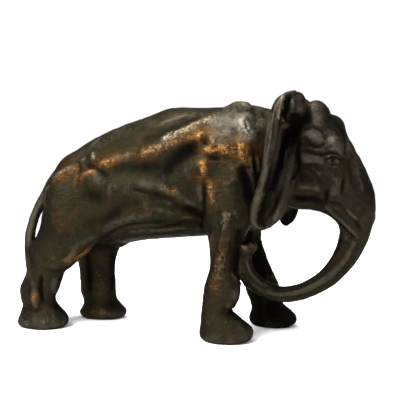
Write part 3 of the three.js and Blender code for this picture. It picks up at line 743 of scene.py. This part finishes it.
# Painted shade darkening the hollows, creases and the eye's pupil and lid, and the paler grey sheen of
# the back and brow: part handling wear, part painted highlight.
SHADE = [
    (6.5, 1, [(81, 160), (79, 153), (76, 145)]),
    (2.6, 0.85, [(72, 142), (69.5, 131), (66, 120), (63, 110)]),
    (3.2, 0.85, [(43, 125), (47, 115), (49.5, 104), (50, 92)]),
    (7, 0.72, [(8, 143), (0, 136), (-8, 129), (-13, 122)]),
    (6, 0.5, [(-36, 127), (-16, 126), (-6, 130)]), (4, 0.6, [(11, 92), (5, 95), (-4, 98)]),
    (1, 0.6, [(16.3, 112), (16.3, 104), (14.5, 94), (11, 82)]),
    (3, 0.95, [(41, 80), (38, 66), (36.5, 52)]), (3, 0.7, [(49, 58), (50, 50), (55, 43)]),
    (2.6, 0.6, [(78, 103), (97, 102)]), (1.6, 0.6, [(101.2, 109), (100.8, 100)]),
    (7, 0.5, [(-78, 106), (-66, 103)]), (4.5, 0.6, [(-22, 83.5), (-4, 84), (10, 85)]),
    (5, 0.7, [(4, 96), (13, 90)]), (1.6, 0.6, [(-115, 42), (-116, 32), (-115, 22)]),
    (2.4, 0.7, [(-116, 108), (-119, 98), (-120.5, 88)]), (4.5, 0.6, [(-64, 84.5), (-50, 92.5)]),
    (5, 0.45, [(-52, 125), (-36, 127), (-20, 128)]), (2, 0.6, [(84, 143), (94, 140)]),
    (4.5, 0.6, [(84, 121), (91, 118)]), (4, 0.6, [(80, 103), (98, 101.5)]),
    (5, 0.35, [(98, 121), (101, 112)]), (13, 0.42, [(84, 124), (96, 119), (104, 112)]),
    (1.1, 1, [(105.2, 130.6), (105.8, 130.4)]),
    (0.9, 0.8, [(102, 131.6), (105, 133.2), (109, 133), (112.6, 130.4)]),
    (4.5, 0.4, [(84, 136), (92, 133)]), (1.6, 0.7, [(82.5, 147), (81.5, 137), (82.4, 127), (79, 118)]),
    (2.2, 0.6, [(22, 132.5), (26, 131.5)]),
]
# Painted shade on the inner sides of the far legs, which stand in shadow.
INNER_SHADE = [
    (11, 0.9, [(47, 62), (45, 45), (42, 26)]), (10, 1, [(44, 14), (44, 2)]),
    (14, 0.85, [(58, 16), (72, 4)]), (4, 0.7, [(-95, 52), (-94, 25)]), (4, 0.7, [(-76, 52), (-76, 25)]),
    (9, 0.6, [(-92, 62), (-76, 60)]),
]
# Painted shade on the far ear's lobe.
FAR_EAR_SHADE = [(8, 0.95, [(64, 82), (73, 88)])]
# Sheen rows: part handling wear, part painted highlight on the lit back, shoulder, head, ears and trunk
# tip; above 1 they also paint silver glints.
SHEEN = [
    (5.5, 1.5, [(39, 161), (42.5, 155), (46, 149)]), (10, 0.75, [(22, 160), (34, 161), (46, 160)]),
    (9, 0.55, [(22, 150), (40, 150)]), (6, 0.4, [(-14, 160), (0, 166)]),
    (8, 0.5, [(42, 170), (50, 167)]), (5.5, 0.7, [(91, 167), (95, 160)]),
    (7, 0.35, [(118, 142), (124, 126)]), (5.5, 0.7, [(104, 147), (108, 142), (111.5, 136.5)]),
    (3.5, 0.45, [(85, 133), (91, 131)]), (4.5, 0.6, [(88, 150), (97, 146)]),
    (2.5, 0.4, [(107, 119), (107, 108)]), (3, 0.5, [(38, 69), (38, 58), (41, 47)]),
    (12, 0.3, [(-88, 138), (-60, 156), (-30, 163)]), (4, 0.3, [(80, 172), (83, 164)]),
    (8, 0.25, [(-60, 115), (-30, 111)]), (5, 0.3, [(61, 124), (57, 105)]),
    (2.5, 0.35, [(70, 100), (65, 90)]), (6, 0.25, [(-132, 8), (-108, 8)]),
]


SIDE_BLEND = 4
FAR_WEAR = 0.6
LEG_TOP = 60
RELIEF_DEPTH = 1.6
EDGE_DEPTH = 0.5


def wear_and_painted_light(points, rows, side):
    """How strongly every point is marked, from 0 to 1, by its distance from the paths seen from one side;
    the same for wear, painted shade and painted highlight.
    """
    total = np.zeros(len(points))
    seen = points[:, [0, 2]]
    for width, strength, path in rows:
        gap = np.full(len(points), 1e9)
        for a, b in zip(np.array(path[:-1], float), np.array(path[1:], float)):
            along = b - a
            t = np.clip((seen - a) @ along / max(along @ along, TINY), 0, 1)
            gap = np.minimum(gap, ((seen - a - t[:, None] * along)**2).sum(1))
        total = np.maximum(total, strength * np.exp(-gap / width**2))
    return total * smoothstep(side * points[:, 1], -SIDE_BLEND, SIDE_BLEND)


def thin_to_limit(mesh, limit):
    """A copy of the mesh collapsed to a number of triangles."""
    working = bpy.data.objects.new("working", mesh)
    bpy.context.scene.collection.objects.link(working)
    collapse = working.modifiers.new("collapse", "DECIMATE")
    triangles = sum(len(face.vertices) - 2 for face in mesh.polygons)
    collapse.ratio = min(1.0, limit / triangles)
    evaluated = working.evaluated_get(bpy.context.evaluated_depsgraph_get())
    smaller = bpy.data.meshes.new_from_object(evaluated)
    bpy.data.objects.remove(working)
    bpy.data.meshes.remove(mesh)
    return smaller


def read_points(mesh):
    flat = np.empty(3 * len(mesh.vertices), np.float32)
    mesh.vertices.foreach_get("co", flat)
    return flat.reshape(-1, 3).astype(float)


def both_sides(points, rows):
    return wear_and_painted_light(points, rows, -1) + wear_and_painted_light(points, rows, 1)


def rubbed_and_glints(points, rows):
    """Wear on the near side, and fainter on the far side above the legs; for the gold rows also painted
    glints.
    """
    above_legs = [row for row in rows if row[2][0][1] > LEG_TOP]
    return wear_and_painted_light(points, rows, -1) + FAR_WEAR * wear_and_painted_light(points, above_legs, 1)


def spread(rows, widening):
    """The same rows, wider and a little weaker."""
    return [(widening * width, 0.8 * strength, path) for width, strength, path in rows]


mesh = thin_to_limit(build_mesh(), TRIANGLE_LIMIT)
mesh.name = "elephant_bronze"
points = read_points(mesh)
broad, fine = blur(clay.field, 4), blur(clay.field, 2)
# Painted shade on the inner sides of the far legs and on the far ear's lobe.
inner = wear_and_painted_light(points, INNER_SHADE, 1) * smoothstep(-points[:, 1], -44, -34)
inner = np.maximum(inner, wear_and_painted_light(points, FAR_EAR_SHADE, 1))
broader = spread(COPPER, 2.3)
warmth = wear_and_painted_light(points, broader, -1) + FAR_WEAR * wear_and_painted_light(points, broader, 1)
# Stored per point: sheen is part handling wear, part painted highlight; shade is painted shade; gold also
# holds painted glints.
for name, values in (
    ("relief", np.clip(clay.sample(points, broad) / RELIEF_DEPTH, -1, 1)),
    ("face", smoothstep(points[:, 0], 80, 100) * smoothstep(points[:, 2], 70, 110)),
    ("edge", np.clip(clay.sample(points, fine) / EDGE_DEPTH, -1, 1)),
    ("sheen", both_sides(points, SHEEN)),
    ("shade", np.maximum(both_sides(points, SHADE), inner)),
    ("warmth", np.maximum(warmth, wear_and_painted_light(points, spread(FAR_COPPER, 1.5), 1))),
    ("copper", np.maximum(rubbed_and_glints(points, COPPER), wear_and_painted_light(points, FAR_COPPER, 1))),
    ("gold", rubbed_and_glints(points, GOLD)),
):
    layer = mesh.attributes.new(name, "FLOAT", "POINT")
    layer.data.foreach_set("value", np.ascontiguousarray(values, np.float32))
# From the modelling frame to the shared one, in metres.
points[:, 0] -= MIDDLE_X
points *= SCALE
points[:, 0] += (LOW[0] + HIGH[0]) / 2
points[:, 1] += (LOW[1] + HIGH[1]) / 2
points[:, 2] = np.maximum(points[:, 2] + LOW[2], LOW[2])
mesh.vertices.foreach_set("co", points.ravel())
mesh.update()
elephant = bpy.data.objects.new("elephant_bronze", mesh)
bpy.context.scene.collection.objects.link(elephant)
mesh.shade_smooth()


# -------------------------------- patina, wear and painted light
class Nodes:
    """Short calls for the nodes of one material."""

    def __init__(self, material):
        material.use_nodes = True
        self.tree = material.node_tree
        self.shader = self.tree.nodes["Principled BSDF"]

    def put(self, socket, value):
        if isinstance(value, bpy.types.NodeSocket):
            self.tree.links.new(value, socket)
        else:
            socket.default_value = value

    def make(self, kind, setting=None, **inputs):
        """A node with its setting, given as (name, value), and its inputs filled in."""
        node = self.tree.nodes.new("ShaderNode" + kind)
        if setting:
            setattr(node, *setting)
        for name, value in inputs.items():
            self.put(node.inputs[name.replace("_", " ")], value)
        return node

    def attribute(self, name):
        return self.make("Attribute", ("attribute_name", name)).outputs["Fac"]

    def noise(self, size, detail, rough=0.6, stretch=(1, 1, 1)):
        """Noise whose cells are about size metres across."""
        place = self.make("Mapping", Vector=self.make("TexCoord").outputs["Object"], Scale=stretch)
        at = place.outputs["Vector"]
        node = self.make("TexNoise", Vector=at, Scale=1 / size, Detail=detail, Roughness=rough)
        return node.outputs["Fac"]

    def math(self, kind, a, b):
        node = self.make("Math", ("operation", kind))
        self.put(node.inputs[0], a)
        self.put(node.inputs[1], b)
        return node.outputs[0]

    def span(self, value, low, high, to_low=0.0, to_high=1.0):
        node = self.make("MapRange", ("interpolation_type", "SMOOTHSTEP"), Value=value,
                         From_Min=low, From_Max=high, To_Min=to_low, To_Max=to_high)
        return node.outputs["Result"]

    def mix(self, amount, a, b):
        node = self.make("Mix", ("data_type", "RGBA"), Factor=amount)
        colors = [socket for socket in node.inputs if socket.type == "RGBA"]
        for socket, value in zip(colors, (a, b)):
            self.put(socket, value if isinstance(value, bpy.types.NodeSocket) else (*value, 1))
        return node.outputs[2]


DARK_BRONZE = (0.0066, 0.0054, 0.0028)
BROWN_BRONZE = (0.0150, 0.0082, 0.0038)
OLIVE_BRONZE = (0.0108, 0.0096, 0.0040)
PURPLE_BRONZE = (0.0110, 0.0080, 0.0068)
# Near black, for the painted shade of the hollows and shade rows, and for the dark pits.
RECESS = (0.0015, 0.0013, 0.0011)
# Paler bronze for the sheen (part handling wear, part painted highlight), the pale edges and the specks.
SHEEN_BRONZE = (0.066, 0.058, 0.044)
WARM_BRONZE = (0.062, 0.029, 0.0075)
WORN_COPPER = (0.38, 0.155, 0.030)
# Pale gold of the wear, and of the painted glints of the gold rows.
PALE_GOLD = (0.38, 0.31, 0.20)
# The colour of the painted silver glints on the strongest sheen.
PALE_SILVER = (0.30, 0.29, 0.27)
SPECULAR_TINT = (0.34, 0.31, 0.24, 1)

# How far each layer covers what lies under it; the sheen and gold layers are partly painted highlight,
# the hollow and shade layers painted shade.
FACE_COVER = 0.45
SHEEN_COVER = 0.85
WARM_COVER = 0.75
COPPER_COVER = 0.56
GOLD_COVER = 0.42
HOLLOW_COVER = 0.85
SHADE_COVER = 0.9


def bronze_material():
    material = bpy.data.materials.new("bronze_patina_and_painted_light")
    n = Nodes(material)
    relief, edge = n.attribute("relief"), n.attribute("edge")
    cloud = n.noise(size=0.045, detail=4)
    patch = n.noise(size=0.018, detail=5)
    grain = n.noise(size=0.0024, detail=4, rough=0.7)
    speck = n.noise(size=0.0012, detail=3, rough=0.65)
    brush = n.noise(size=0.0016, detail=2, stretch=(0.22, 0.6, 1.3))

    def times(value, amount):
        return n.math("MULTIPLY", value, amount)

    def plus(*values):
        total = values[0]
        for value in values[1:]:
            total = n.math("ADD", total, value)
        return total

    def about(value, amount):
        """A noise value moved to swing about zero."""
        return times(n.math("SUBTRACT", value, 0.5), amount)

    def wear_and_light_cover(mask, swings, fills, starts):
        """How much of a layer shows (wear, painted highlight and painted shade alike): its mask broken up
        by swings, and none without it.
        """
        return times(n.span(plus(mask, *swings), *fills), n.span(mask, *starts))

    # The plain patina.
    color = n.mix(n.span(cloud, 0.38, 0.62), DARK_BRONZE, OLIVE_BRONZE)
    color = n.mix(n.span(patch, 0.48, 0.70), color, BROWN_BRONZE)
    color = n.mix(times(n.attribute("face"), FACE_COVER), color, PURPLE_BRONZE)

    # The sheen, part handling wear and part painted highlight, with painted silver glints where it is
    # strongest; the pale edges; and the fine specks and pits.
    handled_and_lit = n.attribute("sheen")
    sheen = wear_and_light_cover(handled_and_lit, (about(grain, 0.9), about(patch, 0.8)), (0.1, 1.1), (0.02, 0.3))
    color = n.mix(times(sheen, SHEEN_COVER), color, SHEEN_BRONZE)
    silver_glints = plus(handled_and_lit, about(speck, 1.6), about(grain, 1.6))
    color = n.mix(n.span(silver_glints, 1.0, 2.0, to_high=0.5), color, PALE_SILVER)
    color = n.mix(n.span(edge, 0.15, 0.9, to_high=0.30), color, SHEEN_BRONZE)
    color = n.mix(n.span(speck, 0.53, 0.68, to_high=0.12), color, SHEEN_BRONZE)
    color = n.mix(n.span(grain, 0.48, 0.34, to_high=0.30), color, RECESS)

    # Rubs: warm brown, then copper, then pale gold, which also paints highlights and glints on ridges,
    # knobs and the ear rim.
    warm = wear_and_light_cover(n.attribute("warmth"), (about(patch, 1.1), about(brush, 0.8)), (0.1, 0.95), (0.02, 0.4))
    color = n.mix(times(warm, WARM_COVER), color, WARM_BRONZE)
    swings = (about(grain, 2.0), about(brush, 1.4), about(speck, 2.0), times(relief, 0.3))
    copper = wear_and_light_cover(n.attribute("copper"), swings, (0.25, 1.5), (0.1, 0.7))
    color = n.mix(times(copper, COPPER_COVER), color, WORN_COPPER)
    swings = (about(speck, 2.2), about(grain, 1.4), times(edge, 0.3))
    gold = wear_and_light_cover(n.attribute("gold"), swings, (0.4, 1.4), (0.05, 0.6))
    color = n.mix(times(gold, GOLD_COVER), color, PALE_GOLD)

    # Painted shade: near black in the hollows and along the shade rows.
    color = n.mix(times(n.span(relief, -0.05, -0.8), HOLLOW_COVER), color, RECESS)
    dark = wear_and_light_cover(n.attribute("shade"), (about(patch, 0.5), about(grain, 0.4)), (0.15, 0.85), (0.02, 0.3))
    color = n.mix(times(dark, SHADE_COVER), color, RECESS)
    n.put(n.shader.inputs["Base Color"], color)
    n.put(n.shader.inputs["Metallic"], 0.9)
    n.put(n.shader.inputs["Specular Tint"], SPECULAR_TINT)

    rough = plus(n.span(patch, 0.3, 0.7, to_low=0.38, to_high=0.54), about(grain, 0.25),
                 times(dark, 0.3), n.span(relief, 0.0, -0.6, to_high=0.15))
    n.put(n.shader.inputs["Roughness"], rough)
    height = plus(times(grain, 0.6), times(speck, 0.35), times(brush, 0.35))
    bump = n.make("Bump", Strength=0.9, Distance=0.0009, Height=height)
    n.put(n.shader.inputs["Normal"], bump.outputs["Normal"])
    return material


mesh.materials.append(bronze_material())

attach(elephant, "root")
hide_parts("elephant")

# -------------------------------- studio
FLOOR_HALF = 6
FLOOR_COLOR = (0.98, 0.98, 0.98, 1)
floor_mesh = bpy.data.meshes.new("floor")
corners = [(FLOOR_HALF * x, FLOOR_HALF * y, 0) for x, y in ((-1, -1), (1, -1), (1, 1), (-1, 1))]
floor_mesh.from_pydata(corners, [], [(0, 1, 2, 3)])
floor = bpy.data.objects.new("floor", floor_mesh)
bpy.context.scene.collection.objects.link(floor)
white = bpy.data.materials.new("floor_white")
white_inputs = Nodes(white).shader.inputs
white_inputs["Base Color"].default_value = FLOOR_COLOR
white_inputs["Roughness"].default_value = 0.9
floor_mesh.materials.append(white)

bpy.context.scene.view_settings.view_transform = "Standard"
world = bpy.data.worlds.new("studio")
world.use_nodes = True
sky = world.node_tree.nodes["Background"].inputs
sky["Color"].default_value = (1, 1, 1, 1)
sky["Strength"].default_value = 1.03
bpy.context.scene.world = world


LAMP_AIM = (0, 0, 0.1)


def softbox(name, at, size, power):
    light = bpy.data.lights.new(name, "AREA")
    light.shape = "RECTANGLE"
    light.size, light.size_y = size
    light.energy = power
    lamp = bpy.data.objects.new(name, light)
    lamp.location = at
    lamp.rotation_euler = (Vector(LAMP_AIM) - Vector(at)).to_track_quat("-Z", "Y").to_euler()
    bpy.context.scene.collection.objects.link(lamp)


softbox("key", (-0.30, -0.50, 0.60), size=(0.42, 0.42), power=12.5)
softbox("top", (-0.05, 0.0, 0.80), size=(0.5, 0.3), power=12)

CAMERA_TURN = math.radians(15.0)
CAMERA_DISTANCE = 512 * SCALE
CAMERA_HEIGHT = 124 * SCALE
AIM = ((0 - MIDDLE_X) * SCALE + (LOW[0] + HIGH[0]) / 2, 11.3 * SCALE + (LOW[1] + HIGH[1]) / 2)
camera_data = bpy.data.cameras.new("camera")
camera_data.sensor_width = 36
camera_data.lens = 57.6
camera_data.shift_y = -0.075
camera = bpy.data.objects.new("camera", camera_data)
camera.location = (AIM[0] + CAMERA_DISTANCE * math.sin(CAMERA_TURN),
                   AIM[1] - CAMERA_DISTANCE * math.cos(CAMERA_TURN), LOW[2] + CAMERA_HEIGHT)
camera.rotation_euler = (math.pi / 2, 0, CAMERA_TURN)
bpy.context.scene.collection.objects.link(camera)
bpy.context.scene.camera = camera
